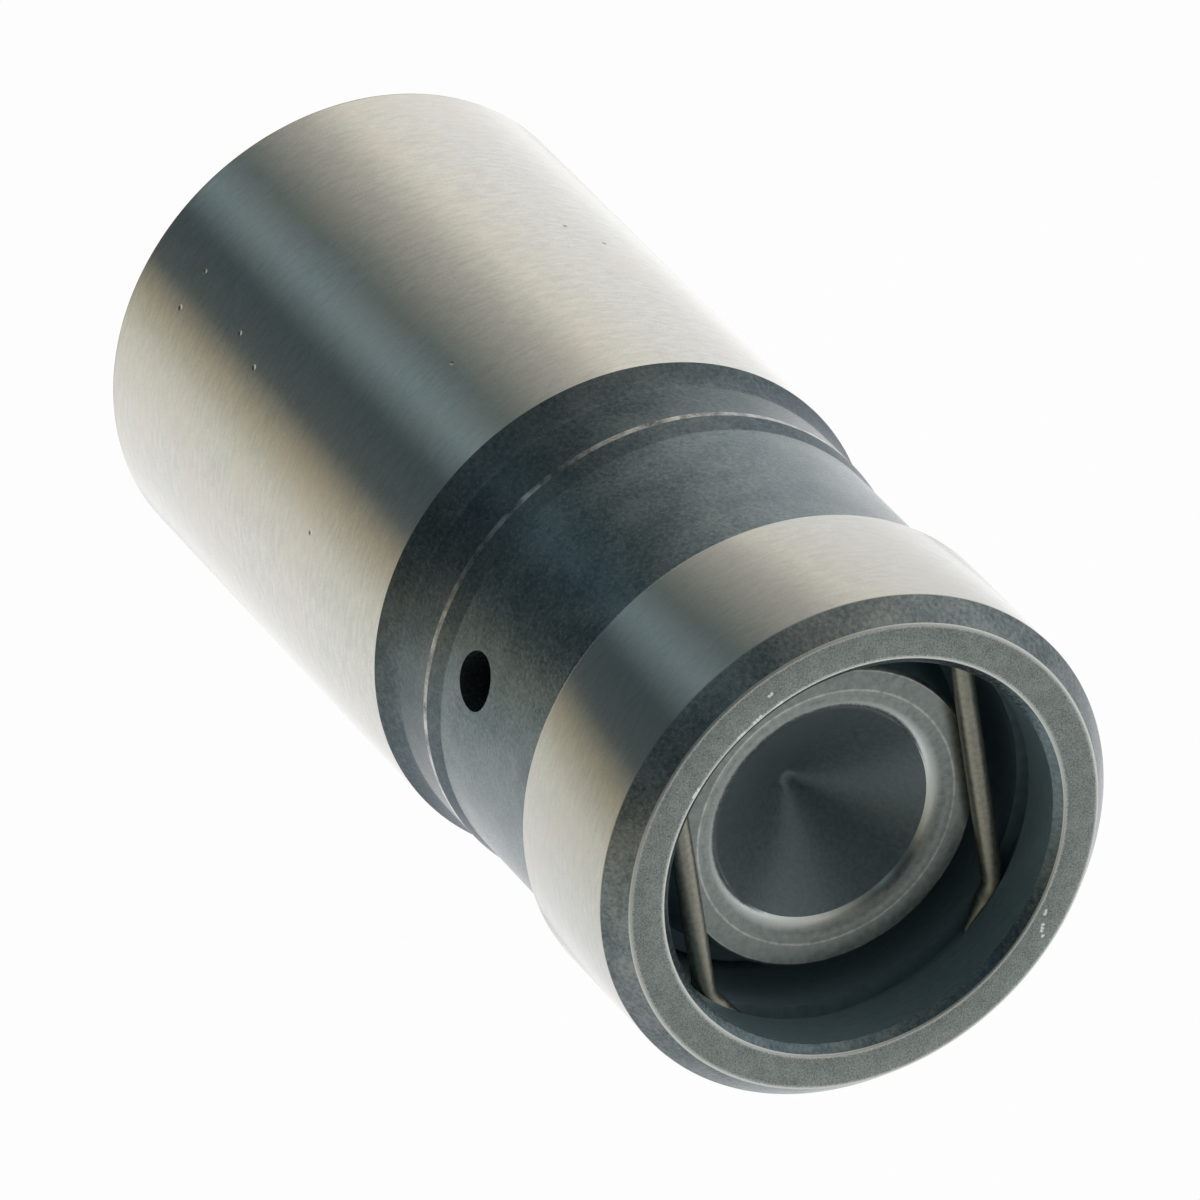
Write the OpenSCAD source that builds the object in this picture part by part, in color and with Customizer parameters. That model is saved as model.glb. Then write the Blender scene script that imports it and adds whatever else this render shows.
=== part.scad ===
// Hydraulic valve lifter with a flat foot, in millimetres.
// +Z runs from the cam foot to the mouth where the pushrod enters; the origin is the middle of the foot.
// It is drawn at rest: the return spring holds the plunger and its cap up against the retainer clip.

/* [Body outside] */
// Diameter of the two ground lands that slide in the engine block
body_d = 22.96; // [22:0.01:25]
// Length from the foot to the mouth
body_len = 49.3; // [46:0.1:56]
// Length of the upper ground land, below its mouth bevel
upper_land = 7.2; // [5:0.1:9]
// Length of the waist between the upper land and the collar
waist_len = 10.1; // [8:0.1:12]
// Bevel around the foot
foot_bevel = 0.85; // [0.2:0.05:1.5]
// Depth of the black collar between the waist and the lower land
collar_depth = 0.48; // [0.2:0.02:0.6]
// Length of the collar, with its hollow fillet
collar_len = 4; // [2.5:0.1:5]
// Length of the hollow fillet that runs from the lower land down to the collar
fillet_len = 1.4; // [0.6:0.1:2]
// Depth of the waist below the ground lands
waist_depth = 0.65; // [0.62:0.01:1]
// Length of the rounded step from the collar to the waist
ridge_len = 0.3; // [0.1:0.05:0.8]
// Diameter of the oil feed hole through the waist
oil_hole_d = 2.54; // [1.5:0.02:3.5]
// Height of the oil feed hole above the collar
oil_hole_up = 3.35; // [2:0.05:5]

/* [Body inside] */
// Diameter of the plunger bore
bore_d = 17.5; // [17:0.01:18]
// Thickness of the foot under the bore
foot_t = 6; // [4:0.1:8]
// Depth of the grinding relief at the bottom of the bore
relief_depth = 0.25; // [0.1:0.05:0.6]
// Length of the grinding relief
relief_len = 2; // [1:0.1:4]
// Width of the bevel outside the mouth, seen along the axis
mouth_bevel_w = 0.83; // [0.3:0.01:1]
// Height of the bevel outside the mouth
mouth_bevel_h = 1.1; // [0.4:0.05:1.6]
// Bevel inside the mouth
bore_bevel = 0.38; // [0.1:0.02:0.6]

/* [Retainer clip] */
// Diameter of the clip's spring wire
clip_wire = 0.95; // [0.7:0.05:1.2]
// Depth of the wire's middle below the mouth
clip_depth = 3.05; // [2.2:0.05:4]
// Distance of each straight leg from the axis
clip_leg = 6.66; // [6.2:0.02:6.8]
// Radius of the four bends, at the middle of the wire
clip_bend = 1.5; // [0.8:0.05:2]
// Angle between the clip's open ends, seen from the axis
clip_open = 67; // [50:1:76]
// Direction of the clip's open end, from +X
clip_turn = 25; // [0:1:359]

/* [Pushrod cap] */
// Height of the cap above the plunger
cap_h = 5; // [4.6:0.1:6]
// Diameter of the pushrod socket's cone at its edge
socket_d = 9.66; // [8.5:0.02:10.4]
// Angle of the socket's cone
socket_angle = 110; // [104:1:125]
// Radius of the cone's rounded point
socket_tip = 0.8; // [0.2:0.05:1.2]
// Radius of the rounded lip around the socket
socket_lip = 0.48; // [0.2:0.02:0.7]
// Width of the recessed rim outside the lip
cap_rim_w = 0.41; // [0.1:0.01:0.6]
// Depth of the recessed rim
cap_rim_depth = 0.14; // [0.05:0.01:0.3]
// Width of the shoulder that stops under the clip
shoulder_w = 1.04; // [0.7:0.02:1.4]
// Thickness of the flange that rests on the plunger
cap_flange_t = 1.3; // [0.8:0.1:1.8]
// Width of the flange outside the cap's skirt
cap_flange_w = 0.8; // [0.3:0.05:1.2]
// Length of the spigot that centres the cap in the plunger
spigot_len = 1.6; // [0.8:0.1:3]

/* [Plunger] */
// Stroke of the plunger down from the clip
stroke = 4; // [2:0.1:6]
// Room left under the ball cage at the end of the stroke
floor_room = 1.25; // [0.5:0.05:3]
// Diameter of the plunger's reservoir
reservoir_d = 11; // [10:0.1:12]
// Thickness of the plunger's floor
plunger_floor = 3; // [2:0.1:5]
// Length of the plunger's land above its oil groove
plunger_land = 1; // [0.6:0.1:2]
// Depth of the oil groove around the plunger
oil_groove_depth = 0.6; // [0.3:0.05:1]
// Diameter of the hole from the oil groove to the reservoir
feed_d = 2; // [1:0.1:3]
// Bevel at both ends of the plunger
plunger_bevel = 0.4; // [0.1:0.05:0.8]
// Diameter of the valve hole in the plunger's floor
valve_hole_d = 3.2; // [2.4:0.05:3.3]
// Width of the cone that the ball seats on
seat_w = 0.6; // [0.3:0.05:1]

/* [Check valve] */
// Diameter of the check ball
ball_d = 4.76; // [4.7:0.01:5.2]
// Lift of the ball from its seat
ball_lift = 0.5; // [0.2:0.05:0.8]
// Room around the ball inside its cage
cage_room = 0.4; // [0.2:0.05:0.8]
// Thickness of the cage's sheet steel
cage_sheet = 0.5; // [0.3:0.05:0.7]
// Inner radius of the cage's bends
cage_bend = 0.4; // [0.2:0.05:0.6]
// Number of windows in the cage's wall
cage_windows = 3; // [2:1:5]
// Diameter of each window
cage_window_d = 1.8; // [1:0.1:2]
// Wire of the ball's spring
ball_spring_wire = 0.3; // [0.2:0.02:0.32]
// Mean diameter of the ball's spring
ball_spring_d = 2.3; // [1.8:0.1:3]
// Turns of the ball's spring
ball_spring_turns = 3; // [2.5:0.25:3.5]
// Room left between the turns of the ball's spring at full lift, all together
ball_spring_room = 0.1; // [0.05:0.05:0.4]

/* [Return spring] */
// Wire of the plunger's return spring
spring_wire = 1.2; // [0.9:0.05:1.3]
// Mean diameter of the return spring
spring_d = 13; // [10:0.1:14.5]
// Turns of the return spring
spring_turns = 4.5; // [3.5:0.25:4.75]

/* [Clearances] */
// Radial play of the plunger in its bore
plunger_play = 0.02; // [0.01:0.005:0.05]
// Play of the clip's wire in its groove
groove_play = 0.05; // [0.02:0.01:0.1]
// Depth of the wire's middle in the wall of the bore
clip_bite = 0.2; // [0.05:0.01:0.3]
// Gap at rest where a moving piece meets its stop, seat or spring
rest_gap = 0.03; // [0.02:0.005:0.06]
// Radial play of the cap's spigot in the plunger
spigot_play = 0.05; // [0.02:0.01:0.15]
// Distance of the cap's flange inside the plunger's diameter
flange_inset = 0.13; // [0.05:0.01:0.3]
// Width of the cage's flange outside the return spring
flange_margin = 0.4; // [0.1:0.05:0.6]

/* [Hidden] */
$fn = 96;

ground_steel = [0.66, 0.65, 0.62];
wire_steel = [0.55, 0.52, 0.47];
cap_steel = [0.38, 0.39, 0.38];
plunger_steel = [0.58, 0.58, 0.57];
ball_steel = [0.78, 0.78, 0.80];
sheet_steel = [0.50, 0.50, 0.48];
spring_steel = [0.34, 0.35, 0.37];

// Outside of the body
body_r = body_d / 2;
collar_r = body_r - collar_depth;
waist_r = body_r - waist_depth;
upper_land_z = body_len - mouth_bevel_h - upper_land;
ridge_z = upper_land_z - waist_len;
lower_land = ridge_z - collar_len;
oil_hole_z = ridge_z + oil_hole_up;

// Bore of the body, with the groove that holds the clip
bore_r = bore_d / 2;
clip_z = body_len - clip_depth;
clip_r = bore_r + clip_bite;
groove_r = clip_r + clip_wire / 2 + groove_play / 2;
groove_w = clip_wire + 2 * groove_play;

// Drops below the plunger: ball on its 45 degree seat, spring under the ball, cage around both
valve_hole_r = valve_hole_d / 2;
seat_r = valve_hole_r + seat_w;
ball_r = ball_d / 2;
ball_drop = (ball_r + rest_gap) * sqrt(2) - seat_r;
ball_spring_r = ball_spring_d / 2;
ball_spring_h = ball_spring_turns * ball_spring_wire + ball_lift + ball_spring_room;
ball_spring_drop = ball_drop + sqrt(ball_r^2 - (ball_spring_r - ball_spring_wire / 2)^2) + rest_gap;
cage_floor_drop = ball_spring_drop + ball_spring_h + rest_gap;
chamber_h = cage_floor_drop + cage_sheet + stroke + floor_room;

// Cap under the clip, plunger between the cap and the oil chamber
plunger_r = bore_r - plunger_play;
cap_top_z = clip_z - clip_wire / 2 - rest_gap;
plunger_top = cap_top_z - cap_h;
plunger_z = foot_t + chamber_h;
reservoir_r = reservoir_d / 2;
oil_groove_low = oil_hole_z - oil_hole_d / 2;
oil_groove_high = plunger_top - plunger_land - oil_groove_depth;

// Check valve under the plunger
ball_z = plunger_z - ball_drop;
cage_floor_z = plunger_z - cage_floor_drop;
cage_r = ball_r + cage_room;
cage_flange_r = (spring_d + spring_wire) / 2 + flange_margin;
cage_window_z = (ball_z + cage_floor_z) / 2;

// Return spring between the body's floor and the cage's flange
spring_z = foot_t + rest_gap;
spring_h = chamber_h - cage_sheet - 2 * rest_gap;

// Shape of a closed and ground compression spring
coil_rings = 18;
coil_sides = 10;
wire_sides = 12;
end_gap = 1.03;

// Points nearer to each other than this are one
same_point = 0.001;

// Points on an arc from angle a to angle b, with its ends
function arc(centre, r, a, b, steps = 8) =
    [for (i = [0:steps]) let (t = a + (b - a) * i / steps) centre + r * [cos(t), sin(t)]];

// Points on the arc of radius r from p to q that hollows the corner on the right of that way
function sag_arc(p, q, r, steps = 10) =
    let (half = (q - p) / 2,
         left = [-half.y, half.x] / norm(half),
         centre = p + half - left * sqrt(r^2 - half * half),
         from = atan2(p.y - centre.y, p.x - centre.x),
         to = atan2(q.y - centre.y, q.x - centre.x))
    arc(centre, r, from, to, steps);

// A path without the points that repeat the one before them
function spaced(path) =
    [for (i = [0:len(path) - 1]) if (i == 0 || norm(path[i] - path[i - 1]) > same_point) path[i]];

// Direction of a path at its point i
function heading(path, i) =
    let (d = path[min(i + 1, len(path) - 1)] - path[max(i - 1, 0)]) d / norm(d);

// Faces of a closed tube of the given rings and sides
function tube_faces(rings, sides) = concat(
    [for (i = [0:rings - 2], s = [0:sides - 1])
        let (a = i * sides, next = (s + 1) % sides) [a + s, a + sides + s, a + sides + next, a + next]],
    [[for (s = [0:sides - 1]) s]],
    [[for (s = [sides - 1:-1:0]) (rings - 1) * sides + s]]);

// Round wire bent along a path in the plane z = 0
module flat_wire(path, wire) {
    points = [for (i = [0:len(path) - 1], s = [0:wire_sides - 1])
        let (d = heading(path, i), side = 360 * s / wire_sides, out = wire / 2 * cos(side))
        [path[i].x + out * d.y, path[i].y - out * d.x, wire / 2 * sin(side)]];
    polyhedron(points, tube_faces(len(path), wire_sides));
}

// Height of a spring's middle line after u turns: close end turns, open turns between them
function coil_height(u, turns, wire, h) =
    let (start = wire / 4,
         close = wire * end_gap,
         open = (h - 2 * (start + close)) / (turns - 2))
    u < 1 ? start + close * u
    : u > turns - 1 ? h - start - close * (turns - u)
    : start + close + open * (u - 1);

// A compression spring that stands on z = 0 with both ends ground flat
module coil_spring(mean_r, wire, turns, h) {
    rings = ceil(turns * coil_rings);
    points = [for (i = [0:rings], s = [0:coil_sides - 1])
        let (u = turns * i / rings,
             side = 360 * s / coil_sides,
             r = mean_r + wire / 2 * cos(side),
             z = coil_height(u, turns, wire, h) + wire / 2 * sin(side))
        [r * cos(360 * u), r * sin(360 * u), max(0, min(h, z))]];
    polyhedron(points, tube_faces(rings + 1, coil_sides));
}

// Cast and ground body: foot, two ground lands, black waist and the bore with its clip groove
module tappet_body() {
    // Hollow fillet from the edge of the lower land to the collar
    fillet = sag_arc([body_r, lower_land], [collar_r, lower_land + fillet_len], 2 * fillet_len);
    outside = concat(
        [[0, 0], [body_r - foot_bevel, 0], [body_r, foot_bevel]],
        fillet,
        [[collar_r, ridge_z], [waist_r, ridge_z + ridge_len],
         [waist_r, upper_land_z], [body_r, upper_land_z],
         [body_r, body_len - mouth_bevel_h], [body_r - mouth_bevel_w, body_len]]);
    inside = [
        [bore_r + bore_bevel, body_len], [bore_r, body_len - bore_bevel],
        [bore_r, clip_z + groove_w / 2], [groove_r, clip_z + groove_w / 2],
        [groove_r, clip_z - groove_w / 2], [bore_r, clip_z - groove_w / 2],
        [bore_r, foot_t + relief_len], [bore_r + relief_depth, foot_t + relief_len - relief_depth],
        [bore_r + relief_depth, foot_t], [0, foot_t]];
    color(ground_steel)
    difference() {
        rotate_extrude() polygon(concat(outside, inside));
        translate([0, 0, oil_hole_z]) rotate([90, 0, 0]) cylinder(h = body_d, d = oil_hole_d);
    }
}

// Round spring wire: a back arc in the groove, two straight legs over the cap, two short hooks
module retainer_clip() {
    // Middle of the bend that joins a leg to the arc in the groove
    bend_y = clip_leg - clip_bend;
    bend_x = sqrt((clip_r - clip_bend)^2 - bend_y^2);
    bend_angle = atan2(bend_y, bend_x);
    // One half of the wire's middle line, from its open end to the middle of the back arc
    half = concat(
        arc([0, 0], clip_r, clip_open / 2, bend_angle, 4),
        arc([bend_x, bend_y], clip_bend, bend_angle, 90, 5),
        arc([-bend_x, bend_y], clip_bend, 90, 180 - bend_angle, 5),
        arc([0, 0], clip_r, 180 - bend_angle, 180, 12));
    ends = len(half) - 1;
    other = [for (i = [ends - 1:-1:0]) [half[i].x, -half[i].y]];
    color(wire_steel)
    translate([0, 0, clip_z]) rotate([0, 0, clip_turn]) flat_wire(spaced(concat(half, other)), clip_wire);
}

// Hardened seat that the pushrod turns in: flange on the plunger, skirt, shoulder, rim and socket
module plunger_cap() {
    flange_r = plunger_r - flange_inset;
    spigot_r = reservoir_r - spigot_play;
    rim_z = cap_h - cap_rim_depth;
    edge_r = socket_d / 2;
    lip_r = edge_r + socket_lip;
    rim_r = lip_r + cap_rim_w;
    shoulder_r = rim_r + cap_rim_depth + shoulder_w;
    // The lip turns down from the rim to the edge of the cone, which ends in a rounded point
    edge_z = rim_z - socket_lip;
    slope = 90 - socket_angle / 2;
    tip_z = edge_z - edge_r * tan(slope) + socket_tip / cos(slope);
    lip = arc([lip_r, edge_z], socket_lip, 90, 180, 6);
    point = arc([0, tip_z], socket_tip, slope - 90, -90, 4);
    color(cap_steel)
    translate([0, 0, plunger_top])
    rotate_extrude() polygon(concat(
        [[0, -spigot_len], [spigot_r - plunger_bevel, -spigot_len], [spigot_r, plunger_bevel - spigot_len],
         [spigot_r, 0], [flange_r, 0], [flange_r, cap_flange_t], [flange_r - cap_flange_w, cap_flange_t],
         [shoulder_r, rim_z], [shoulder_r - cap_rim_depth, cap_h],
         [rim_r + cap_rim_depth, cap_h], [rim_r, rim_z]],
        lip, point));
}

// Hollow piston that floats on the oil in the chamber, with its reservoir, oil groove and valve seat
module plunger() {
    groove_bottom = plunger_r - oil_groove_depth;
    color(plunger_steel)
    difference() {
        rotate_extrude() polygon([
            [seat_r, plunger_z], [plunger_r - plunger_bevel, plunger_z],
            [plunger_r, plunger_z + plunger_bevel],
            [plunger_r, oil_groove_low - oil_groove_depth], [groove_bottom, oil_groove_low],
            [groove_bottom, oil_groove_high], [plunger_r, oil_groove_high + oil_groove_depth],
            [plunger_r, plunger_top - plunger_bevel], [plunger_r - plunger_bevel, plunger_top],
            [reservoir_r, plunger_top], [reservoir_r, plunger_z + plunger_floor],
            [valve_hole_r, plunger_z + plunger_floor], [valve_hole_r, plunger_z + seat_w]]);
        translate([0, 0, (oil_groove_low + oil_groove_high) / 2])
            rotate([-90, 0, 0]) cylinder(h = body_d, d = feed_d);
    }
}

// Ball that shuts the valve hole from below
module check_ball() {
    color(ball_steel) translate([0, 0, ball_z]) sphere(r = ball_r);
}

// Pressed cage: its flange is held to the plunger by the return spring, its cup holds ball and spring
module check_valve_retainer() {
    outer_r = cage_r + cage_sheet;
    outer_bend = cage_bend + cage_sheet;
    flange_z = plunger_z - cage_sheet;
    floor_under = cage_floor_z - cage_sheet;
    color(sheet_steel)
    difference() {
        rotate_extrude() polygon(concat(
            [[0, floor_under]],
            arc([cage_r - cage_bend, cage_floor_z + cage_bend], outer_bend, -90, 0, 5),
            arc([outer_r + cage_bend, flange_z - cage_bend], cage_bend, 180, 90, 5),
            [[cage_flange_r, flange_z], [cage_flange_r, plunger_z]],
            arc([outer_r + cage_bend, flange_z - cage_bend], outer_bend, 90, 180, 5),
            arc([cage_r - cage_bend, cage_floor_z + cage_bend], cage_bend, 0, -90, 5),
            [[0, cage_floor_z]]));
        for (i = [0:cage_windows - 1])
            translate([0, 0, cage_window_z]) rotate([90, 0, 360 * i / cage_windows])
                cylinder(h = 2 * outer_r, d = cage_window_d);
    }
}

// Light spring that lifts the ball to its seat
module check_valve_spring() {
    color(spring_steel) translate([0, 0, cage_floor_z + rest_gap])
        coil_spring(ball_spring_r, ball_spring_wire, ball_spring_turns, ball_spring_h);
}

// Spring in the oil chamber that holds the plunger up against the clip
module plunger_return_spring() {
    color(spring_steel) translate([0, 0, spring_z])
        coil_spring(spring_d / 2, spring_wire, spring_turns, spring_h);
}

tappet_body();
retainer_clip();
plunger_cap();
plunger();
check_ball();
check_valve_retainer();
check_valve_spring();
plunger_return_spring();
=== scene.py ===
"""Looks of a hydraulic valve lifter: ground body, wire clip, pushrod cap and the valve parts inside."""

from math import atan2, ceil, cos, pi, radians, sin, sqrt, tan

import bpy
from mathutils import Matrix, Vector


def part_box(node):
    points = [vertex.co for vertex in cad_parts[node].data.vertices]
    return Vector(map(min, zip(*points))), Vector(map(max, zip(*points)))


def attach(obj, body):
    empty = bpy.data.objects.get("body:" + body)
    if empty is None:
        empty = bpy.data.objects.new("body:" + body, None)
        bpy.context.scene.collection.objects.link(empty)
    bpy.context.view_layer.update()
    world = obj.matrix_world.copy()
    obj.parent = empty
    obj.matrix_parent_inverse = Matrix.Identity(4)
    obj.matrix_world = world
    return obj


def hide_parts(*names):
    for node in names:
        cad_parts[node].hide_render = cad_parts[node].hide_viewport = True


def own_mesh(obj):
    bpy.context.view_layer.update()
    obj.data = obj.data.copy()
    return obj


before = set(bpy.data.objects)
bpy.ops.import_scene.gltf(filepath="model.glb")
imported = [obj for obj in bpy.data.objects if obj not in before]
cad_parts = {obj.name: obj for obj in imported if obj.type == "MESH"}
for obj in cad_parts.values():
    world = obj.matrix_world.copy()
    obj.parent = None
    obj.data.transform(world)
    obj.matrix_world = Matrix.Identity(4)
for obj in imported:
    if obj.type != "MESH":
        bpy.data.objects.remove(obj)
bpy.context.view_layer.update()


# Tappet body
# One casting of hardenable iron, turned, blackened in heat treatment and then ground on its two lands and
# its bore. A flat foot rides on the cam; the black waist between the lands carries oil to the hole.
MM = 0.001
TURNS = 256
HOLE_SIDES = 64
WELD = 0.0005 * MM
AT_AXIS = 0.0001 * MM
body_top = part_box("tappet_body")[1]
body_r = body_top.x
body_len = body_top.z
foot_bevel = 0.85 * MM
collar_r = body_r - 0.48 * MM
collar_len = 4 * MM
waist_r = body_r - 0.65 * MM
waist_len = 10.1 * MM
fillet_len = 1.4 * MM
fillet_r = 6 * fillet_len
mouth_bevel_w = 0.83 * MM
mouth_bevel_h = 1.1 * MM
upper_land_len = 7.2 * MM
upper_land_z = body_len - mouth_bevel_h - upper_land_len
ridge_z = upper_land_z - waist_len
ridge_w = 0.3 * MM
run_out = 1 * MM
lower_land_z = ridge_z - collar_len
bore_r = 8.75 * MM
bore_bevel = 0.38 * MM
bore_floor = 6 * MM
clip_z = body_len - 3.05 * MM
groove_r = 9.45 * MM
groove_half = 0.525 * MM
relief_depth = 0.25 * MM
relief_r = bore_r + relief_depth
relief_len = 2 * MM
oil_hole_z = ridge_z + 3.35 * MM
oil_hole_r = 1.27 * MM
edge = 0.08 * MM


def arc_points(centre, r, start, end, steps):
    """Points on an arc in the plane of an outline, with both ends; angles in radians."""
    angles = [start + (end - start) * i / steps for i in range(steps + 1)]
    return [(centre[0] + r * cos(a), centre[1] + r * sin(a)) for a in angles]


def sag_points(p, q, r, steps):
    """Points on the arc of radius r that sags below the chord from p to q, where q is nearer the axis."""
    half = (Vector(q) - Vector(p)) / 2
    up = Vector((half.y, -half.x)).normalized()
    centre = Vector(p) + half + up * sqrt(r * r - half.length_squared)
    start = atan2(p[1] - centre.y, p[0] - centre.x)
    end = atan2(q[1] - centre.y, q[0] - centre.x)
    return arc_points(centre, r, start, end, steps)


def rounded(corners, steps=4):
    """An outline from corners (radius, height) or (radius, height, rounding): a rounding becomes an arc."""
    outline = []
    for i, corner in enumerate(corners):
        here = Vector(corner[:2])
        if len(corner) == 2:
            outline.append(tuple(here))
            continue
        before = (Vector(corners[i - 1][:2]) - here).normalized()
        after = (Vector(corners[(i + 1) % len(corners)][:2]) - here).normalized()
        half = before.angle(after) / 2
        middle = here + (before + after).normalized() * corner[2] / sin(half)
        reach = corner[2] / tan(half)
        first = here + before * reach - middle
        last = here + after * reach - middle
        start = atan2(first.y, first.x)
        turn = (atan2(last.y, last.x) - start + pi) % (2 * pi) - pi
        outline += arc_points(middle, corner[2], start, start + turn, steps)
    return outline


def clear_selection():
    if bpy.context.object and bpy.context.object.mode != "OBJECT":
        bpy.ops.object.mode_set(mode="OBJECT")
    bpy.ops.object.select_all(action="DESELECT")


def close_ends():
    """Merges doubles and closes the open ends of the mesh in edit mode, whose edges stay selected."""
    bpy.ops.mesh.select_all(action="SELECT")
    bpy.ops.mesh.remove_doubles(threshold=WELD)
    bpy.ops.mesh.select_all(action="DESELECT")
    bpy.ops.mesh.select_non_manifold()
    bpy.ops.mesh.fill_holes(sides=0)


def face_outwards():
    """Turns all faces outwards and leaves edit mode."""
    bpy.ops.mesh.select_all(action="SELECT")
    bpy.ops.mesh.normals_make_consistent(inside=False)
    bpy.ops.object.mode_set(mode="OBJECT")


def turned(name, outline):
    """A piece turned on a lathe: a circle drawn ring by ring along an outline of (radius, height)."""
    clear_selection()
    (r, z), *rings = outline
    bpy.ops.mesh.primitive_circle_add(vertices=TURNS, radius=r, location=(0, 0, z))
    piece = bpy.context.object
    piece.name = name
    bpy.ops.object.transform_apply(location=True)
    bpy.ops.object.mode_set(mode="EDIT")
    for radius, height in rings:
        bpy.ops.mesh.extrude_region_move(TRANSFORM_OT_translate={"value": (0, 0, height - z)})
        bpy.ops.transform.resize(value=(radius / r, radius / r, 1), center_override=(0, 0, 0))
        r, z = radius, height
    close_ends()
    face_outwards()
    return piece


def drill(piece, radius, start, end):
    """A round hole through a piece from the point start to the point end."""
    clear_selection()
    along = Vector(end) - Vector(start)
    bpy.ops.mesh.primitive_cylinder_add(
        vertices=HOLE_SIDES,
        radius=radius,
        depth=along.length,
        location=(Vector(start) + Vector(end)) / 2,
        rotation=along.to_track_quat("Z", "Y").to_euler(),
    )
    bit = bpy.context.object
    bpy.context.view_layer.objects.active = piece
    cut = piece.modifiers.new("drilled", "BOOLEAN")
    cut.object = bit
    cut.solver = "EXACT"
    bpy.ops.object.modifier_apply(modifier=cut.name)
    bpy.data.objects.remove(bit)


def smooth(piece, angle=30):
    clear_selection()
    bpy.context.view_layer.objects.active = piece
    piece.select_set(True)
    bpy.ops.object.shade_smooth_by_angle(angle=radians(angle))


def share_out(piece, finishes, finish_at):
    """Gives a piece its finishes; finish_at picks the one of a face from its radius, height and normal."""
    piece.data.materials.clear()
    for finish in finishes:
        piece.data.materials.append(finish.material)
    for face in piece.data.polygons:
        place = face.center
        finish = finish_at(Vector(place[:2]).length, place.z, face.normal)
        face.material_index = finishes.index(finish)


class Wiring:
    """The nodes of a finish or of the studio's light; a value is a number or another node's output."""

    def __init__(self, tree):
        self.tree = tree

    def feed(self, socket, value):
        if isinstance(value, bpy.types.NodeSocket):
            self.tree.links.new(value, socket)
        else:
            socket.default_value = value

    def add(self, kind, inputs=(), **settings):
        node = self.tree.nodes.new(kind)
        for key, value in settings.items():
            setattr(node, key, value)
        for socket, value in dict(inputs).items():
            self.feed(node.inputs[socket], value)
        return node

    def math(self, operation, *values):
        return self.add("ShaderNodeMath", dict(enumerate(values)), operation=operation).outputs[0]

    def weigh(self, a, weight_a, b, weight_b):
        """The sum of two values, each times its weight."""
        return self.math("MULTIPLY_ADD", a, weight_a, self.math("MULTIPLY", b, weight_b))

    def remap(self, value, low, high, to_low=0.0, to_high=1.0):
        inputs = {0: value, 1: low, 2: high, 3: to_low, 4: to_high}
        return self.add("ShaderNodeMapRange", inputs).outputs[0]

    def blend(self, factor, a, b):
        return self.add("ShaderNodeMix", {0: factor, 6: a, 7: b}, data_type="RGBA").outputs[2]

    def ramp(self, value, stops):
        """A colour ramp from (place, colour) stops."""
        node = self.add("ShaderNodeValToRGB", {0: value})
        elements = node.color_ramp.elements
        while len(elements) < len(stops):
            elements.new(0.5)
        for element, (place, colour) in zip(elements, stops):
            element.position = place
            element.color = (*colour, 1)
        return node.outputs[0]


class Finish(Wiring):
    """A finish: a procedural material that reads object coordinates in millimetres."""

    def __init__(self, name, metallic=1.0):
        self.material = bpy.data.materials.new(name)
        self.material.use_nodes = True
        super().__init__(self.material.node_tree)
        self.shader = self.tree.nodes["Principled BSDF"]
        self.set("Metallic", metallic)
        coords = self.add("ShaderNodeTexCoord").outputs["Object"]
        self.place = self.add("ShaderNodeMapping", {"Vector": coords, "Scale": (1 / MM,) * 3}).outputs[0]

    def set(self, socket, value):
        self.feed(self.shader.inputs[socket], value)

    def noise(self, per_mm, detail=3.0, rough=0.55):
        """Noise whose features come per_mm, a number or one for each axis."""
        across = per_mm if isinstance(per_mm, tuple) else (per_mm,) * 3
        stretched = self.add("ShaderNodeMapping", {"Vector": self.place, "Scale": across}).outputs[0]
        inputs = {"Vector": stretched, "Scale": 1.0, "Detail": detail, "Roughness": rough}
        return self.add("ShaderNodeTexNoise", inputs).outputs["Fac"]

    def from_axis(self):
        """Distance from the lifter's axis in millimetres."""
        flat_place = self.add("ShaderNodeMapping", {"Vector": self.place, "Scale": (1, 1, 0)}).outputs[0]
        return self.add("ShaderNodeVectorMath", {0: flat_place}, operation="LENGTH").outputs[1]

    def nearness(self, points, reach):
        """1 at any of the points, falling to 0 at reach millimetres from them."""
        nearest = None
        for point in points:
            ends = {0: self.place, 1: point}
            away = self.add("ShaderNodeVectorMath", ends, operation="DISTANCE").outputs[1]
            nearest = away if nearest is None else self.math("MINIMUM", nearest, away)
        return self.remap(nearest, 0, reach, 1, 0)

    def tone(self, factor, dark, light, low=0.3, high=0.7):
        """A colour that goes from dark to light as the factor goes from low to high."""
        return self.blend(self.remap(factor, low, high), (*dark, 1), (*light, 1))

    def tones(self, *tone):
        self.set("Base Color", self.tone(*tone))

    def gloss(self, factor, smoothest, roughest):
        """A roughness that goes from smoothest to roughest over the middle of the factor's range."""
        return self.remap(factor, 0.3, 0.7, smoothest, roughest)

    def shine(self, *gloss):
        self.set("Roughness", self.gloss(*gloss))

    def relief(self, *heights):
        """Bumps the surface by the sum of heights in millimetres, each a (value, height of 1.0) pair."""
        total = 0.0
        for value, tall in heights:
            total = self.math("MULTIPLY_ADD", value, tall, total)
        self.set("Normal", self.add("ShaderNodeBump", {"Height": total, "Distance": MM}).outputs[0])


def round_body(height, bearing):
    """A point on the lands in millimetres, from its height and its bearing in degrees."""
    r = body_r / MM
    return (r * cos(radians(bearing)), r * sin(radians(bearing)), height)


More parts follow.
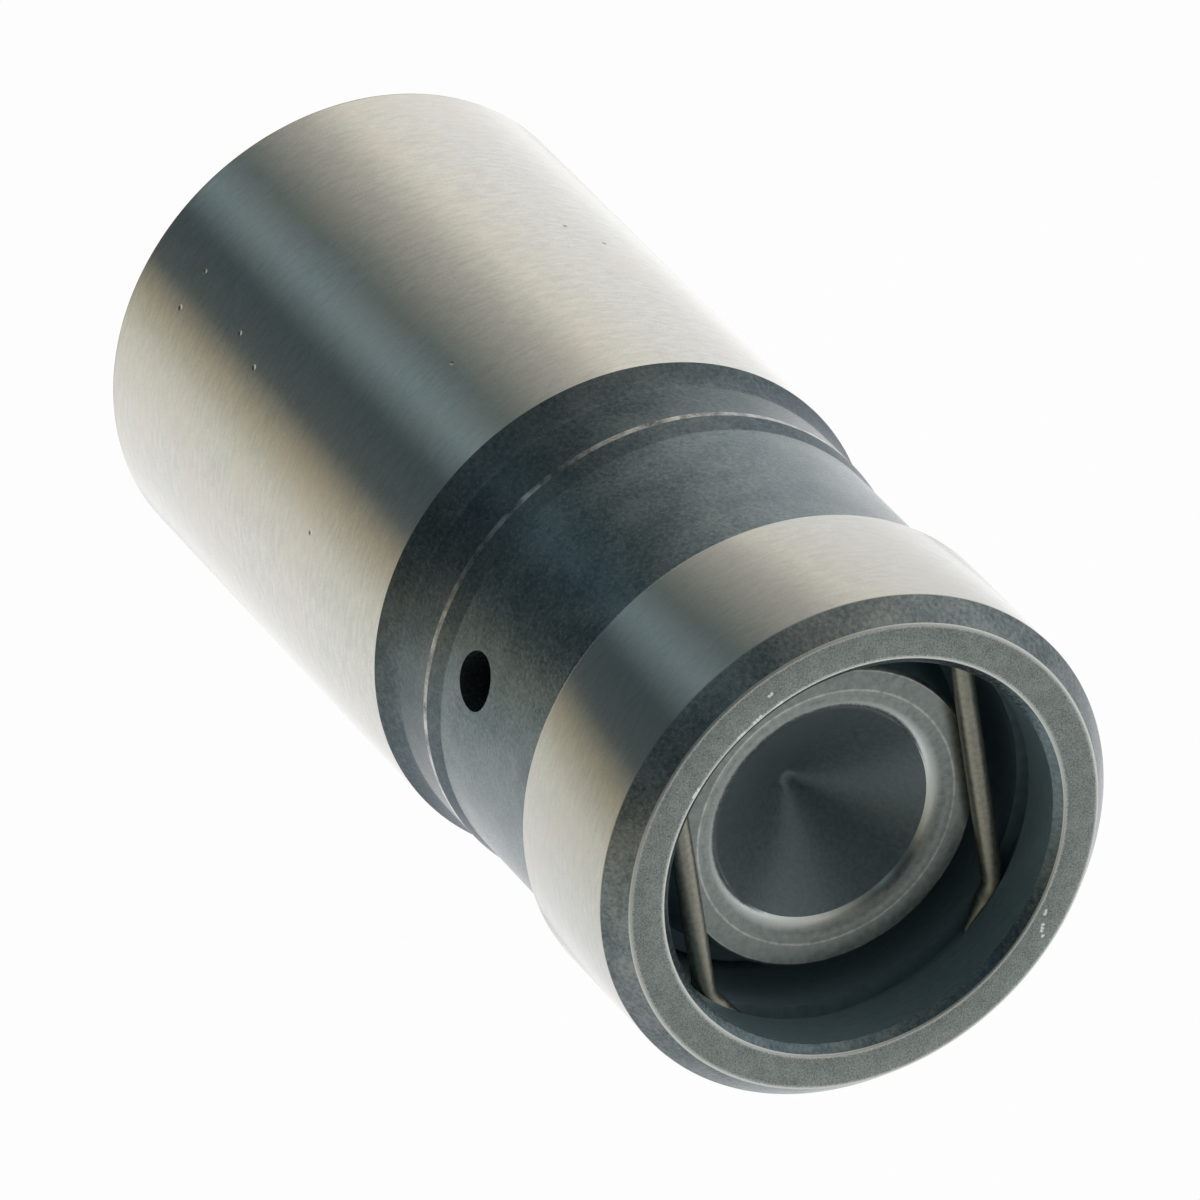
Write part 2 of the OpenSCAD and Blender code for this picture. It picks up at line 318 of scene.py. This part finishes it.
ground_steel = Finish("ground_steel")
grind_lines = ground_steel.noise((1.1, 1.1, 11), 3.0, 0.6)
ripples = ground_steel.noise((1.3, 1.3, 4.5), 2.0, 0.5)
patches = ground_steel.noise(0.22, 3.0)
fine_grain = ground_steel.noise(9.0, 3.0, 0.7)
grain = ground_steel.weigh(ripples, 0.5, fine_grain, 0.5)
bare_land = ground_steel.tone(grain, (0.56, 0.56, 0.525), (0.69, 0.68, 0.64), 0.36, 0.64)
warmth = ground_steel.math("MULTIPLY", ground_steel.remap(patches, 0.48, 0.66), 0.5)
warm_land = ground_steel.blend(warmth, bare_land, (0.67, 0.62, 0.56, 1))
# The upper land is painted darker than the lower one: painted shade, for the darker surroundings that it
# mirrors
body_height = ground_steel.add("ShaderNodeSeparateXYZ", {0: ground_steel.place}).outputs[2]
upper_land_shade = ground_steel.remap(body_height, ridge_z / MM, upper_land_z / MM, 0, 0.3)
land = ground_steel.blend(upper_land_shade, warm_land, (0.4, 0.42, 0.41, 1))
# Dints in the lands, by height in millimetres and bearing in degrees; each is bumped in and painted near
# black as painted shade
dint_places = (
    (4.8, -112.7),
    (4.6, -103.2),
    (9.3, -108.8),
    (11.4, -105.8),
    (21.3, -136.7),
    (15.1, 171.4),
    (13.8, 177.9),
    (19.9, -88.1),
    (33.0, 40.0),
    (17.0, 75.0),
    (8.0, 20.0),
)
dint_reach = 0.14
dints_and_shade = ground_steel.nearness([round_body(*place) for place in dint_places], dint_reach)
# Painted shade: each dint is painted near black
ground_steel.set("Base Color", ground_steel.blend(dints_and_shade, land, (0.1, 0.095, 0.085, 1)))
ground_steel.shine(grind_lines, 0.12, 0.19)
chatter = ground_steel.math("MULTIPLY", ripples, ground_steel.remap(patches, 0.35, 0.6, 0.4, 1))
ground_steel.relief((grind_lines, 0.0003), (chatter, 0.0023), (fine_grain, 0.0006), (dints_and_shade, -0.03))


def oxide(name, dark, light, glance=(1, 1, 1, 1)):
    """Blackened skin, cloudy and finely grained; glance tints what it mirrors at a flat angle."""
    black = Finish(name, metallic=0.8)
    skin = black.noise(5.0, 4.0, 0.7)
    clouds = black.noise(0.5, 3.0)
    black.tones(black.weigh(clouds, 0.35, skin, 0.65), dark, light, 0.38, 0.62)
    black.shine(skin, 0.16, 0.3)
    black.relief((skin, 0.014))
    black.set("Specular Tint", glance)
    return black


waist_black = oxide("waist_black", (0.07, 0.113, 0.134), (0.2, 0.245, 0.255))
collar_black = oxide("collar_black", (0.045, 0.075, 0.09), (0.135, 0.165, 0.175))
fillet_black = oxide("fillet_black", (0.08, 0.115, 0.13), (0.19, 0.22, 0.23), (0.5, 0.52, 0.55, 1))
bevel_black = oxide("bevel_black", (0.12, 0.155, 0.17), (0.31, 0.34, 0.34), (0.85, 0.86, 0.88, 1))

# The flat lip of the mouth is painted paler along both its edges: partly wear, partly a painted highlight
# where its rounded edges catch the light
lip_in = (bore_r + bore_bevel) / MM
lip_out = (body_r - mouth_bevel_w) / MM
rub_and_glint_w = 0.22
lip_face = Finish("lip_face", metallic=0.9)
mottle = lip_face.noise(14.0, 3.0, 0.7)
stains = lip_face.noise(1.3, 3.0)
lip_tone = lip_face.weigh(stains, 0.2, mottle, 0.8)
bare_lip = lip_face.tone(lip_tone, (0.145, 0.172, 0.163), (0.4, 0.445, 0.418), 0.36, 0.64)
lip_radius = lip_face.from_axis()
inner_edge = lip_face.remap(lip_radius, lip_in, lip_in + rub_and_glint_w, 1, 0)
outer_edge = lip_face.remap(lip_radius, lip_out - rub_and_glint_w, lip_out)
edge_wear_and_glint = lip_face.math("MULTIPLY_ADD", mottle, 0.9, lip_face.math("MAXIMUM", inner_edge, outer_edge))
# Partly wear, partly a painted highlight: the lip is painted paler towards both edges
lip_with_wear_and_glint = lip_face.blend(lip_face.remap(edge_wear_and_glint, 0.7, 1.25), bare_lip, (0.66, 0.685, 0.645, 1))
# Short scratches in the lip, each a row of points (x, y) in millimetres
scratches = [
    (-6.87, -6.04), (-6.75, -6.15), (-6.63, -6.25),
    (-7.25, -6.63), (-7.15, -6.7),
    (-6.21, -6.83), (-6.07, -6.93), (-5.93, -7.03),
    (-5.46, -7.36), (-5.35, -7.46), (-5.23, -7.57),
    (-2.83, -8.73), (-2.67, -8.8), (-2.51, -8.86),
    (2.16, 9.32), (2.3, 9.33), (2.8, 9.38), (2.95, 9.4), (3.08, 9.41), (3.31, 9.53),
]
scratch_reach = 0.16
scratched = lip_face.nearness([(x, y, body_len / MM) for x, y in scratches], scratch_reach)
ragged = lip_face.math("MULTIPLY_ADD", lip_face.noise(11.0), 0.9, scratched)
bright = lip_face.remap(ragged, 0.85, 1.05)
lip_face.set("Base Color", lip_face.blend(bright, lip_with_wear_and_glint, (0.85, 0.85, 0.81, 1)))
lip_face.shine(mottle, 0.26, 0.4)
lip_face.relief((mottle, 0.006), (scratched, -0.012))

honed_bore = Finish("honed_bore", metallic=0.25)
hone_marks = honed_bore.noise((1.5, 1.5, 10.0))
honed_bore.tones(hone_marks, (0.175, 0.262, 0.3), (0.24, 0.33, 0.365))
honed_bore.shine(hone_marks, 0.28, 0.42)

worn_edge = Finish("worn_edge")
rub = worn_edge.noise(1.2, 4.0, 0.7)
worn_edge.tones(rub, (0.1, 0.112, 0.117), (0.5, 0.505, 0.493), 0.36, 0.64)
worn_edge.shine(rub, 0.26, 0.15)

# A golden-brown line painted round the edge of the foot
gold_foot_line = Finish("gold_foot_line")
gold_foot_line.tones(gold_foot_line.noise(1.2, 3.0), (0.2, 0.13, 0.05), (0.42, 0.31, 0.15))
gold_foot_line.set("Roughness", 0.3)

below_fillet = [
    (AT_AXIS, 0),
    (body_r - foot_bevel, 0, 2 * edge),
    (body_r, foot_bevel, 2 * edge),
    (body_r, lower_land_z, edge),
]
fillet_top = (collar_r, lower_land_z + fillet_len)
fillet = sag_points((body_r, lower_land_z), fillet_top, fillet_r, steps=6)
above_fillet = [
    (collar_r, ridge_z - ridge_w),
    (collar_r, ridge_z, edge),
    (waist_r, ridge_z + run_out, 8 * edge),
    (waist_r, upper_land_z, 1.5 * edge),
    (body_r, upper_land_z, edge),
    (body_r, body_len - mouth_bevel_h, edge),
    (body_r - mouth_bevel_w, body_len, 2 * edge),
    (bore_r + bore_bevel, body_len, 2 * edge),
    (bore_r, body_len - bore_bevel, edge),
    (bore_r, clip_z + groove_half),
    (groove_r, clip_z + groove_half),
    (groove_r, clip_z - groove_half),
    (bore_r, clip_z - groove_half),
    (bore_r, bore_floor + relief_len),
    (relief_r, bore_floor + relief_len - relief_depth),
    (relief_r, bore_floor, 2 * edge),
    (AT_AXIS, bore_floor),
]
tappet = turned("tappet_casting", rounded(below_fillet + fillet[1:] + above_fillet))
drill(tappet, oil_hole_r, (0, 0, oil_hole_z), (0, -2 * body_r, oil_hole_z))
smooth(tappet)


def body_finish(r, z, normal):
    """The finish of a face of the body."""
    if r > body_r - edge and abs(z - foot_bevel) < edge:
        return gold_foot_line
    on_lower_land = r > body_r - foot_bevel - edge and z < lower_land_z
    on_upper_land = r > body_r - edge and upper_land_z - edge < z < body_len - mouth_bevel_h + edge
    if on_lower_land or on_upper_land or normal.z < -0.9:
        return ground_steel
    if z > body_len - edge and normal.z > 0.5:
        return lip_face
    if r < groove_r + edge and z < body_len - bore_bevel:
        return honed_bore
    if ridge_z - ridge_w < z < ridge_z + 0.2 * edge:
        return worn_edge
    if z < ridge_z + run_out and r > waist_r:
        return collar_black if lower_land_z + fillet_len < z < ridge_z else fillet_black
    on_mouth_bevel = r > bore_r + 2 * bore_bevel and z > body_len - mouth_bevel_h
    return bevel_black if on_mouth_bevel else waist_black


body_finishes = (
    ground_steel,
    waist_black,
    lip_face,
    worn_edge,
    honed_bore,
    collar_black,
    bevel_black,
    gold_foot_line,
    fillet_black,
)
share_out(tappet, body_finishes, body_finish)
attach(tappet, "tappet")
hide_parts("tappet_body")


# Retainer clip
# Drawn spring wire, bent so that its arcs snap into the groove under the mouth and its two straight legs
# cross over the cap's shoulder. Its open end is squeezed to take it out.
clip_wire_r = 0.475 * MM
clip_wire_sides = 24
clip_r = bore_r + 0.2 * MM
clip_leg = 6.66 * MM
clip_bend = 1.5 * MM
clip_bend_steps = 10
clip_back_steps = 48
clip_open = radians(67)
clip_turn = radians(25)
bend_y = clip_leg - clip_bend
bend_x = sqrt((clip_r - clip_bend) ** 2 - bend_y**2)
bend_angle = atan2(bend_y, bend_x)
hook = clip_open / 2
hook_steps = 6
hook_step = (bend_angle - hook) / hook_steps
hook_point = 0.35
hook_point_bevel = 0.1 * MM
hook_drop = 0.8 * clip_wire_r


def clip_point(r, angle):
    """A point of the clip's own plan, whose open end faces +X, in the lifter's frame."""
    return Matrix.Rotation(clip_turn + angle, 4, "Z") @ Vector((r, 0, clip_z))


def bend_wire(x, y, angle, steps):
    """Bends the wire on by an angle about a point of the clip's plan."""
    middle = clip_point(sqrt(x * x + y * y), atan2(y, x))
    bpy.ops.mesh.spin(steps=steps, angle=angle, center=middle, axis=(0, 0, -1))


def bend_corner(x, y):
    """Bends the wire between an arc in the groove and a leg."""
    bend_wire(x, y, pi / 2 - bend_angle, clip_bend_steps)


def straight_wire(angle):
    """Draws a leg on in a direction of the clip's plan."""
    run = clip_point(2 * bend_x, angle) - clip_point(0, 0)
    bpy.ops.mesh.extrude_region_move(TRANSFORM_OT_translate={"value": run})


def hook_ring(i):
    """Scale and radius of a hook's ring, from 0 at its point, which lies at the bottom of the groove."""
    scale = hook_point + (1 - hook_point) * i / hook_steps
    return scale, clip_r + (1 - scale) * hook_drop


def bend_hook(before, after, angle):
    """Bends a hook on by one step to an angle, where its ring before becomes its ring after."""
    bend_wire(0, 0, hook_step, 1)
    scale, r = hook_ring(before)
    new_scale, new_r = hook_ring(after)
    middle = clip_point(r, angle)
    bpy.ops.transform.resize(value=(new_scale / scale,) * 3, center_override=middle)
    bpy.ops.transform.translate(value=clip_point(new_r, angle) - middle)


clear_selection()
point_scale, point_r = hook_ring(0)
bpy.ops.mesh.primitive_circle_add(
    vertices=clip_wire_sides,
    radius=clip_wire_r * point_scale,
    location=clip_point(point_r, hook),
    rotation=(pi / 2, 0, clip_turn + hook),
)
clip = bpy.context.object
clip.name = "clip_wire"
bpy.ops.object.transform_apply(location=True, rotation=True)
bpy.ops.object.mode_set(mode="EDIT")
for i in range(hook_steps):
    bend_hook(i, i + 1, hook + hook_step * (i + 1))
bend_corner(bend_x, bend_y)
straight_wire(pi)
bend_corner(-bend_x, bend_y)
bend_wire(0, 0, 2 * bend_angle, clip_back_steps)
bend_corner(-bend_x, -bend_y)
straight_wire(0)
bend_corner(bend_x, -bend_y)
for i in range(hook_steps, 0, -1):
    bend_hook(i, i - 1, -hook - hook_step * (i - 1))
close_ends()
bpy.ops.mesh.bevel(offset=hook_point_bevel, segments=3, affect="EDGES")
face_outwards()
smooth(clip, angle=40)

drawn_wire = Finish("drawn_wire")
scale_marks = drawn_wire.noise(5.0)
drawn_wire.tones(scale_marks, (0.27, 0.265, 0.216), (0.425, 0.415, 0.35))
drawn_wire.shine(scale_marks, 0.36, 0.5)
drawn_wire.relief((scale_marks, 0.003))
clip.data.materials.append(drawn_wire.material)
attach(clip, "tappet")
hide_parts("retainer_clip")


# Plunger cap
# The pushrod's seat: a hardened turning that rests on the plunger by its flange, with a shoulder that
# stops under the clip, a dished rim, a rubbed lip and a black cone that the pushrod's ball end turns in.
cap_foot, cap_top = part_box("plunger_cap")
cap_seat = cap_top.z - 5 * MM
plunger_r = bore_r - 0.02 * MM
flange_r = plunger_r - 0.13 * MM
flange_top = cap_seat + 1.3 * MM
skirt_r = flange_r - 0.8 * MM
reservoir_r = 5.5 * MM
spigot_r = reservoir_r - 0.05 * MM
spigot_bevel = 0.4 * MM
socket_edge_r = 4.83 * MM
socket_lip = 0.48 * MM
socket_angle = 110
rim_step = 0.14 * MM
rim_w = 0.41 * MM
rim_r = socket_edge_r + socket_lip + rim_w + rim_step
shoulder_r = rim_r + 1.04 * MM
socket_edge_z = cap_top.z - rim_step - socket_lip
socket_point_z = socket_edge_z - socket_edge_r * tan(radians(90 - socket_angle / 2))
# The rim is dished a little. The lip is a round of an eighth of a turn, where the black cone begins
lip_r = 5.66 * MM
rim_z = cap_top.z - 0.04 * MM
lip_bend = 1.267 * MM
lip_steep = radians(44)
cone_r = lip_r - lip_bend * sin(lip_steep)
cone_z = rim_z - lip_bend * (1 - cos(lip_steep))
cone_slope = atan2(cone_z - socket_point_z, cone_r)
cone_tip = 0.8 * MM
tip_middle = cone_z - cone_r * tan(cone_slope) + cone_tip / cos(cone_slope)
fine = 0.05 * MM
cap_outline = rounded([
    (AT_AXIS, cap_foot.z),
    (spigot_r - spigot_bevel, cap_foot.z, fine),
    (spigot_r, cap_foot.z + spigot_bevel, fine),
    (spigot_r, cap_seat, fine),
    (flange_r, cap_seat, edge),
    (flange_r, flange_top, edge),
    (skirt_r, flange_top, edge),
    (shoulder_r, cap_top.z - rim_step, edge),
    (shoulder_r - rim_step, cap_top.z, edge),
    (rim_r, cap_top.z, fine),
    (lip_r, rim_z),
])
cap_outline += arc_points((lip_r, rim_z - lip_bend), lip_bend, pi / 2, pi / 2 + lip_steep, steps=16)[1:]
cap_outline += arc_points((AT_AXIS, tip_middle), cone_tip, cone_slope - pi / 2, -pi / 2, steps=10)
cap = turned("pushrod_seat", cap_outline)
smooth(cap)

turned_steel = Finish("turned_steel", metallic=0.94)
smut = turned_steel.noise(3.0, 4.0, 0.65)
bare_turning = turned_steel.tone(smut, (0.205, 0.235, 0.222), (0.345, 0.383, 0.362))
cap_radius = turned_steel.from_axis()
# The lip is rubbed bright towards the cone, and painted brighter there as a painted highlight for its glint
polish_and_glint = turned_steel.remap(cap_radius, cone_r / MM + 0.15, cone_r / MM + 0.57, 1, 0)
bare_cap = turned_steel.blend(polish_and_glint, bare_turning, (0.6, 0.64, 0.62, 1))
# Two corners of the rim are painted as pale lines: partly wear, partly a painted highlight along the corners
off_rim = turned_steel.math("SUBTRACT", cap_radius, rim_r / MM)
off_shoulder = turned_steel.math("SUBTRACT", cap_radius, (shoulder_r - rim_step) / MM)
off_corners = [turned_steel.math("ABSOLUTE", off) for off in (off_rim, off_shoulder)]
near_corner = turned_steel.remap(turned_steel.math("MINIMUM", *off_corners), 0.02, 0.07, 1, 0)
worn_and_glint_line = turned_steel.math("MULTIPLY", near_corner, turned_steel.remap(smut, 0.35, 0.6, 0.2, 0.9))
turned_steel.set("Base Color", turned_steel.blend(worn_and_glint_line, bare_cap, (0.56, 0.58, 0.55, 1)))
turned_rough = turned_steel.gloss(smut, 0.28, 0.4)
rubbed_rough = turned_steel.gloss(smut, 0.14, 0.24)
turned_steel.set("Roughness", turned_steel.remap(polish_and_glint, 0, 1, turned_rough, rubbed_rough))
turned_steel.relief((smut, 0.003))

seat_black = Finish("seat_black", metallic=0.42)
seat_grain = seat_black.noise(5.0, 4.0, 0.65)
seat_black.tones(seat_grain, (0.115, 0.155, 0.175), (0.185, 0.228, 0.245))
seat_black.shine(seat_grain, 0.28, 0.4)
seat_black.relief((seat_grain, 0.006))


def cap_finish(r, z, normal):
    """The finish of a face of the cap."""
    if r < cone_r:
        return seat_black
    return honed_bore if r > rim_r and z < cap_top.z - rim_step else turned_steel


share_out(cap, (turned_steel, seat_black, honed_bore), cap_finish)
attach(cap, "plunger")
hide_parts("plunger_cap")


# Plunger
# A hollow ground piston under the cap. Oil comes in through the groove round it and the hole in its side,
# and the hole in its floor is the seat of the check valve.
plunger_foot, plunger_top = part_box("plunger")
low, high = plunger_foot.z, plunger_top.z
plunger_bevel = 0.4 * MM
plunger_floor = low + 3 * MM
groove_low = oil_hole_z - oil_hole_r
groove_high = high - 1.6 * MM
groove_depth = 0.6 * MM
oil_groove_r = plunger_r - groove_depth
valve_hole_r = 1.6 * MM
seat_w = 0.6 * MM
feed_hole_r = 1 * MM
feed_hole_z = (groove_low + groove_high) / 2
piston = turned("plunger_piston", rounded([
    (valve_hole_r + seat_w, low),
    (plunger_r - plunger_bevel, low, fine),
    (plunger_r, low + plunger_bevel, fine),
    (plunger_r, groove_low - groove_depth, fine),
    (oil_groove_r, groove_low, 4 * fine),
    (oil_groove_r, groove_high, 4 * fine),
    (plunger_r, groove_high + groove_depth, fine),
    (plunger_r, high - plunger_bevel, fine),
    (plunger_r - plunger_bevel, high, fine),
    (reservoir_r, high, fine),
    (reservoir_r, plunger_floor, 8 * fine),
    (valve_hole_r, plunger_floor, fine),
    (valve_hole_r, low + seat_w, fine),
    (valve_hole_r + seat_w, low),
]))
drill(piston, feed_hole_r, (0, 0, feed_hole_z), (0, 2 * plunger_r, feed_hole_z))
smooth(piston)
piston.data.materials.append(ground_steel.material)
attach(piston, "plunger")
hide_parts("plunger")


# Check ball
# A bearing ball of hardened steel, ground and polished. Its spring holds it against the cone in the
# plunger's floor, and the cage keeps it in line.
ball_foot, ball_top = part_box("check_ball")
ball_r = (ball_top.z - ball_foot.z) / 2
ball_middle = (ball_foot + ball_top) / 2
ball_cuts = 19
clear_selection()
bpy.ops.mesh.primitive_cube_add(size=ball_r)
ball = bpy.context.object
ball.name = "valve_ball"
bpy.ops.object.mode_set(mode="EDIT")
bpy.ops.mesh.subdivide(number_cuts=ball_cuts)
bpy.ops.object.mode_set(mode="OBJECT")
round_off = ball.modifiers.new("round", "CAST")
round_off.factor = 1
round_off.use_radius_as_size = False
round_off.size = ball_r
bpy.ops.object.modifier_apply(modifier=round_off.name)
bpy.ops.transform.translate(value=(0, 0, ball_middle.z))
bpy.ops.object.transform_apply(location=True)
smooth(ball, angle=60)
polished = Finish("polished_ball")
polished.set("Base Color", (0.76, 0.76, 0.78, 1))
polished.shine(polished.noise(1.5), 0.04, 0.1)
ball.data.materials.append(polished.material)
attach(ball, "check_ball")
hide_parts("check_ball")


# Check valve retainer
# A cage pressed from thin sheet. The return spring holds its flange to the plunger, and its cup keeps the
# ball and the ball's spring in line; oil leaves through the windows.
cage_foot, cage_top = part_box("check_valve_retainer")
sheet = 0.5 * MM
cage_r = ball_r + 0.4 * MM
cage_bend = 0.4 * MM
cage_flange_r = cage_top.x
cup_low = cage_foot.z + sheet
window_count = 3
window_r = 0.9 * MM
window_z = (ball_middle.z + cup_low) / 2
cage = turned("ball_cage", rounded([
    (AT_AXIS, cage_foot.z),
    (cage_r + sheet, cage_foot.z, cage_bend + sheet),
    (cage_r + sheet, cage_top.z - sheet, cage_bend),
    (cage_flange_r, cage_top.z - sheet, fine),
    (cage_flange_r, cage_top.z, fine),
    (cage_r, cage_top.z, cage_bend + sheet),
    (cage_r, cup_low, cage_bend),
    (AT_AXIS, cup_low),
], steps=6))
for i in range(window_count):
    way = Matrix.Rotation(2 * pi * i / window_count, 4, "Z") @ Vector((0, -2 * cage_r, 0))
    drill(cage, window_r, (0, 0, window_z), (way.x, way.y, window_z))
smooth(cage)
pressed_sheet = Finish("pressed_sheet")
drawn = pressed_sheet.noise((5, 5, 1.2))
pressed_sheet.tones(drawn, (0.44, 0.44, 0.42), (0.55, 0.55, 0.53))
pressed_sheet.shine(drawn, 0.28, 0.42)
cage.data.materials.append(pressed_sheet.material)
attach(cage, "plunger")
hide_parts("check_valve_retainer")


# Check valve spring and plunger return spring
# Two closed and ground compression springs of oil tempered wire: a light one lifts the ball to its seat,
# a stout one stands on the floor of the oil chamber and holds the plunger up against the clip.
COIL_STEPS = 32
COIL_SIDES = 16
CLOSE_PITCH = 1.03


def coil_height(u, turns, wire, h):
    """Height of the wire's middle after u turns: close end turns with open turns between them."""
    first = wire / 4
    close = wire * CLOSE_PITCH
    if u < 1:
        return first + close * u
    if u > turns - 1:
        return h - first - close * (turns - u)
    return first + close + (h - 2 * (first + close)) * (u - 1) / (turns - 2)


def coil(name, mean_r, wire, turns, low, high):
    """A compression spring between two heights, its ends ground flat."""
    clear_selection()
    bpy.ops.mesh.primitive_circle_add(
        vertices=COIL_SIDES,
        radius=wire / 2,
        location=(mean_r, 0, low + coil_height(0, turns, wire, high - low)),
        rotation=(pi / 2, 0, 0),
    )
    spring = bpy.context.object
    spring.name = name
    bpy.ops.object.transform_apply(location=True, rotation=True)
    bpy.ops.object.mode_set(mode="EDIT")
    steps = ceil(turns * COIL_STEPS)
    heights = [coil_height(turns * i / steps, turns, wire, high - low) for i in range(steps + 1)]
    for before, after in zip(heights, heights[1:]):
        bpy.ops.mesh.spin(steps=1, angle=2 * pi * turns / steps, center=(0, 0, 0), axis=(0, 0, -1))
        bpy.ops.transform.translate(value=(0, 0, after - before))
    close_ends()
    for cut_z, normal in ((low, (0, 0, -1)), (high, (0, 0, 1))):
        bpy.ops.mesh.select_all(action="SELECT")
        bpy.ops.mesh.bisect(
            plane_co=(0, 0, cut_z),
            plane_no=normal,
            use_fill=True,
            clear_outer=True,
            threshold=WELD,
        )
    face_outwards()
    smooth(spring, angle=40)
    return spring


tempered_wire = Finish("tempered_wire")
draw_marks = tempered_wire.noise(4.0)
tempered_wire.tones(draw_marks, (0.22, 0.23, 0.25), (0.38, 0.39, 0.41))
tempered_wire.shine(draw_marks, 0.28, 0.42)
# Node, piece, mean radius, wire, turns, the body that a spring stands on and the joint that squeezes it
springs = (
    ("check_valve_spring", "ball_spring", 1.15 * MM, 0.3 * MM, 3, "plunger", "check_ball_lift"),
    ("plunger_return_spring", "return_spring", 6.5 * MM, 1.2 * MM, 4.5, "tappet", "plunger_slide"),
)
for node, name, mean_r, wire, turns, body, joint in springs:
    spring_foot, spring_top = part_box(node)
    spring = coil(name, mean_r, wire, turns, spring_foot.z, spring_top.z)
    spring.data.materials.append(tempered_wire.material)
    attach(spring, body)
    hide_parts(node)
    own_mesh(spring)


# Studio
# A white floor and a pale tent that is open and dark towards the front, so that the ground lands show
# pale flanks and one dark band along the lifter. The camera is far off with a long lens.
# The view: lens and mouth in pixels, the mouth's distance in metres, and how the lifter leans and turns
PICTURE = 1200
focal_px = 16951
mouth_px = (865.5, 858.1)
mouth_distance = 0.689
axis_tilt = radians(38.94)
axis_slope = radians(45.80)
hole_turn = radians(36.4)

seen_axis = Vector((sin(axis_tilt) * cos(axis_slope), sin(axis_tilt) * sin(axis_slope), -cos(axis_tilt)))
seen_side = Vector((-sin(axis_slope), cos(axis_slope), 0))
seen_back = seen_axis.cross(seen_side)
to_view = Matrix((seen_side, seen_back, seen_axis)).transposed() @ Matrix.Rotation(hole_turn, 3, "Z")
mouth_seen = Vector([(px - PICTURE / 2) / focal_px for px in mouth_px] + [1])
eye = Vector((0, 0, body_len)) - to_view.transposed() @ (mouth_seen * mouth_distance)
flip = Matrix.Diagonal((1, -1, -1))
clear_selection()
bpy.ops.object.camera_add(location=eye, rotation=(flip @ to_view).transposed().to_euler())
camera = bpy.context.object
camera.data.sensor_width = 36
camera.data.lens = focal_px / PICTURE * camera.data.sensor_width
camera.data.clip_start = 0.05
camera.data.clip_end = 20
bpy.context.scene.camera = camera

# The camera sees the paper floor lifted to white. The metal mirrors the tent in its place
floor_size = 4
floor_lift = 0.975
clear_selection()
bpy.ops.mesh.primitive_plane_add(size=floor_size)
floor = bpy.context.object
floor.name = "floor"
floor.visible_glossy = False
paper = Finish("white_paper", metallic=0.0)
paper.set("Base Color", (0.92, 0.92, 0.92, 1))
paper.set("Roughness", 0.9)
camera_ray = paper.add("ShaderNodeLightPath").outputs["Is Camera Ray"]
white = paper.add("ShaderNodeEmission", {"Color": (1, 1, 1, 1), "Strength": 1.0}).outputs[0]
lift = paper.math("MULTIPLY", camera_ray, floor_lift)
seen_paper = paper.add("ShaderNodeMixShader", {0: lift, 1: paper.shader.outputs[0], 2: white}).outputs[0]
paper.feed(paper.tree.nodes["Material Output"].inputs["Surface"], seen_paper)
floor.data.materials.append(paper.material)

dark_side = radians(-101.5)
tent_strength = 1.15
world = bpy.data.worlds.new("studio")
bpy.context.scene.world = world
world.use_nodes = True
tent = Wiring(world.node_tree)
direction = tent.add("ShaderNodeTexCoord").outputs["Generated"]
from_dark = tent.add("ShaderNodeMapping", {"Vector": direction, "Rotation": (0, 0, -dark_side)}).outputs[0]
ahead, aside, up = tent.add("ShaderNodeSeparateXYZ", {0: from_dark}).outputs[:3]
bearing = tent.remap(tent.math("ARCTAN2", aside, ahead), -pi, pi)
# The tent's colour by bearing, in degrees from the middle of its dark opening
wall_colours = (
    (-180, (1, 1, 1)),
    (-165, (0.93, 0.93, 0.93)),
    (-145, (0.87, 0.87, 0.87)),
    (-130, (0.87, 0.87, 0.87)),
    (-98, (0.8, 0.77, 0.7)),
    (-80, (0.48, 0.465, 0.43)),
    (-55, (0.21, 0.225, 0.21)),
    (-44, (0.12, 0.15, 0.15)),
    (-26, (0.2, 0.26, 0.285)),
    (-8, (0.058, 0.08, 0.09)),
    (16, (0.082, 0.102, 0.106)),
    (33, (0.4, 0.365, 0.28)),
    (55, (0.7, 0.695, 0.63)),
    (85, (0.83, 0.83, 0.82)),
    (115, (0.87, 0.87, 0.87)),
    (135, (0.93, 0.93, 0.93)),
    (160, (1, 1, 1)),
)
walls = tent.ramp(bearing, [((degrees + 180) / 360, colour) for degrees, colour in wall_colours])
# Its brightness by height, from -1 straight down to 1 straight up: pale low down, dimmer at the horizon,
# pale above it and dark in the roof
light_levels = (
    (-0.6, 1.0),
    (-0.2, 0.6),
    (0.3, 0.95),
    (0.42, 0.85),
    (0.55, 0.66),
    (0.78, 0.6),
    (0.88, 0.28),
    (1, 0.2),
)
levels = tent.ramp(tent.remap(up, -1, 1), [((rise + 1) / 2, (level,) * 3) for rise, level in light_levels])
tent_light = tent.add("ShaderNodeMix", {0: 1.0, 6: walls, 7: levels}, data_type="RGBA", blend_type="MULTIPLY")
camera_ray = tent.add("ShaderNodeLightPath").outputs["Is Camera Ray"]
backdrop = world.node_tree.nodes["Background"].inputs
tent.feed(backdrop["Color"], tent.blend(camera_ray, tent_light.outputs[2], (1, 1, 1, 1)))
tent.feed(backdrop["Strength"], tent_strength)

bpy.context.scene.view_settings.view_transform = "Standard"
